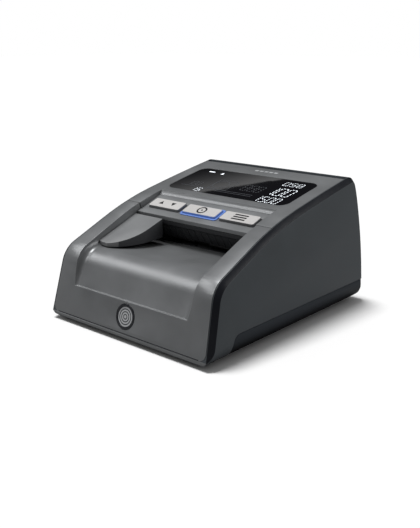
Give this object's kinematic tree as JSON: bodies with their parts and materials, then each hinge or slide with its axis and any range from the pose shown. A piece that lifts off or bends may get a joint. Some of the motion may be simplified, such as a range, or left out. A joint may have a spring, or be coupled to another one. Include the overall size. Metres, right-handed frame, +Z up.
{
  "type": "banknote counting machine",
  "caption": "Compact desktop banknote counter and checker with a front note slot, sloping top cover, display window and press keys.",
  "frame": {"origin": "middle of the footprint, at the underside of the rubber feet", "axes": "+Z up, -Y is the front where a note goes in, +X is the right-hand side seen from the front"},
  "size_m": [0.127, 0.1512, 0.08],
  "materials": {
    "shell_plastic": "fine moulded texture",
    "base_plastic": "fine moulded texture",
    "frame_plastic": "satin metallic lacquer on plastic",
    "guide_plastic": "satin",
    "throat_plastic": "matt",
    "window_black": "gloss black window",
    "key_plastic": "satin off-white",
    "light_guide": "translucent blue",
    "badge_dark": "gloss",
    "badge_pale": "satin silver",
    "steel": "ground",
    "motor_steel": "plated",
    "plate_steel": "zinc plated",
    "roller_rubber": "ground rubber",
    "feet_rubber": "moulded rubber",
    "gear_plastic": "natural acetal",
    "bronze": "sintered bronze",
    "circuit_board": "solder mask",
    "components": "moulded epoxy",
    "sensor_glass": "glass-faced bar",
    "display_light": "lit display segments",
    "key_print": "printed key symbols",
    "battery_wrap": "heat-shrink film"
  },
  "bodies": {
    "casing": {"base_tray": "base_plastic", "rubber_feet": "feet_rubber", "body_shell": "shell_plastic", "front_frame": "frame_plastic", "badge_ring": "badge_dark", "badge_disc": "badge_pale", "note_guide": "guide_plastic", "hinge_pins": "steel", "lower_guide": "throat_plastic", "lower_sensor_bar": "sensor_glass", "magnetic_head": "components", "chassis_left": "plate_steel", "chassis_right": "plate_steel", "shaft_bushes": "bronze", "drive_motor": "motor_steel", "idler_pin": "steel", "encoder_sensor": "components", "main_board": "circuit_board", "board_components": "components", "battery_pack": "battery_wrap", "battery_door": "base_plastic", "power_inlet": "components", "data_port": "steel", "switch_housing": "components", "sounder": "components", "casing_screws": "steel", "board_screws": "steel", "chassis_screws": "steel"},
    "cover": {"top_cover": "frame_plastic", "throat_panel": "throat_plastic", "display_window": "window_black", "display_board": "circuit_board", "display_modules": "components", "key_light_guide": "light_guide", "key_switches": "components", "key_board": "circuit_board", "upper_guide": "throat_plastic", "upper_sensor_bar": "sensor_glass", "guide_screws": "steel"},
    "key_left": {"key_left": "key_plastic"},
    "key_centre": {"key_centre": "key_plastic"},
    "key_right": {"key_right": "key_plastic"},
    "drive_front": {"drive_shaft_front": "steel", "drive_rollers_front": "roller_rubber", "drive_gear_front": "gear_plastic"},
    "drive_rear": {"drive_shaft_rear": "steel", "drive_rollers_rear": "roller_rubber", "drive_gear_rear": "gear_plastic", "encoder_disc": "components"},
    "idler": {"idler_gear": "gear_plastic"},
    "motor_rotor": {"motor_shaft": "steel", "motor_pinion": "gear_plastic"},
    "pinch_front": {"pinch_shaft_front": "steel", "pinch_rollers_front": "roller_rubber"},
    "pinch_rear": {"pinch_shaft_rear": "steel", "pinch_rollers_rear": "roller_rubber"},
    "rocker": {"power_rocker": "components"}
  },
  "joints": [
    {"name": "cover_hinge", "type": "hinge", "parent": "casing", "child": "cover", "pos_m": [0, 0.05886, 0.07611], "axis": [-1, 0, 0], "range_deg": [0, 70]},
    {"name": "key_left_press", "type": "slide", "parent": "cover", "child": "key_left", "axis": [0, 0.3453, -0.9385], "range_m": [0, 0.001], "stiffness_N_per_m": 300, "springref_m": -0.0005},
    {"name": "key_centre_press", "type": "slide", "parent": "cover", "child": "key_centre", "axis": [0, 0.3453, -0.9385], "range_m": [0, 0.001], "stiffness_N_per_m": 300, "springref_m": -0.0005},
    {"name": "key_right_press", "type": "slide", "parent": "cover", "child": "key_right", "axis": [0, 0.3453, -0.9385], "range_m": [0, 0.001], "stiffness_N_per_m": 300, "springref_m": -0.0005},
    {"name": "drive_front_spin", "type": "hinge", "parent": "casing", "child": "drive_front", "pos_m": [0, -0.0044, 0.0344], "axis": [1, 0, 0], "continuous": true},
    {"name": "drive_rear_spin", "type": "hinge", "parent": "casing", "child": "drive_rear", "pos_m": [0, 0.0376, 0.0344], "axis": [1, 0, 0], "continuous": true},
    {"name": "idler_spin", "type": "hinge", "parent": "casing", "child": "idler", "pos_m": [0, 0.0166, 0.0344], "axis": [1, 0, 0], "continuous": true},
    {"name": "motor_spin", "type": "hinge", "parent": "casing", "child": "motor_rotor", "pos_m": [0, 0.0166, 0.0176], "axis": [1, 0, 0], "continuous": true},
    {"name": "pinch_front_spin", "type": "hinge", "parent": "cover", "child": "pinch_front", "pos_m": [0, -0.0044, 0.0467], "axis": [1, 0, 0], "continuous": true},
    {"name": "pinch_rear_spin", "type": "hinge", "parent": "cover", "child": "pinch_rear", "pos_m": [0, 0.0376, 0.0467], "axis": [1, 0, 0], "continuous": true},
    {"name": "power_rocker_tilt", "type": "hinge", "parent": "casing", "child": "rocker", "pos_m": [0.037, 0.072, 0.023], "axis": [-1, 0, 0], "range_deg": [0, 12]}
  ],
  "couplings": [
    {"joint": "drive_rear_spin", "follows": "drive_front_spin", "ratio": 1},
    {"joint": "idler_spin", "follows": "drive_front_spin", "ratio": -0.66667},
    {"joint": "motor_spin", "follows": "drive_front_spin", "ratio": 2},
    {"joint": "pinch_front_spin", "follows": "drive_front_spin", "ratio": -1.4},
    {"joint": "pinch_rear_spin", "follows": "drive_front_spin", "ratio": -1.4}
  ]
}
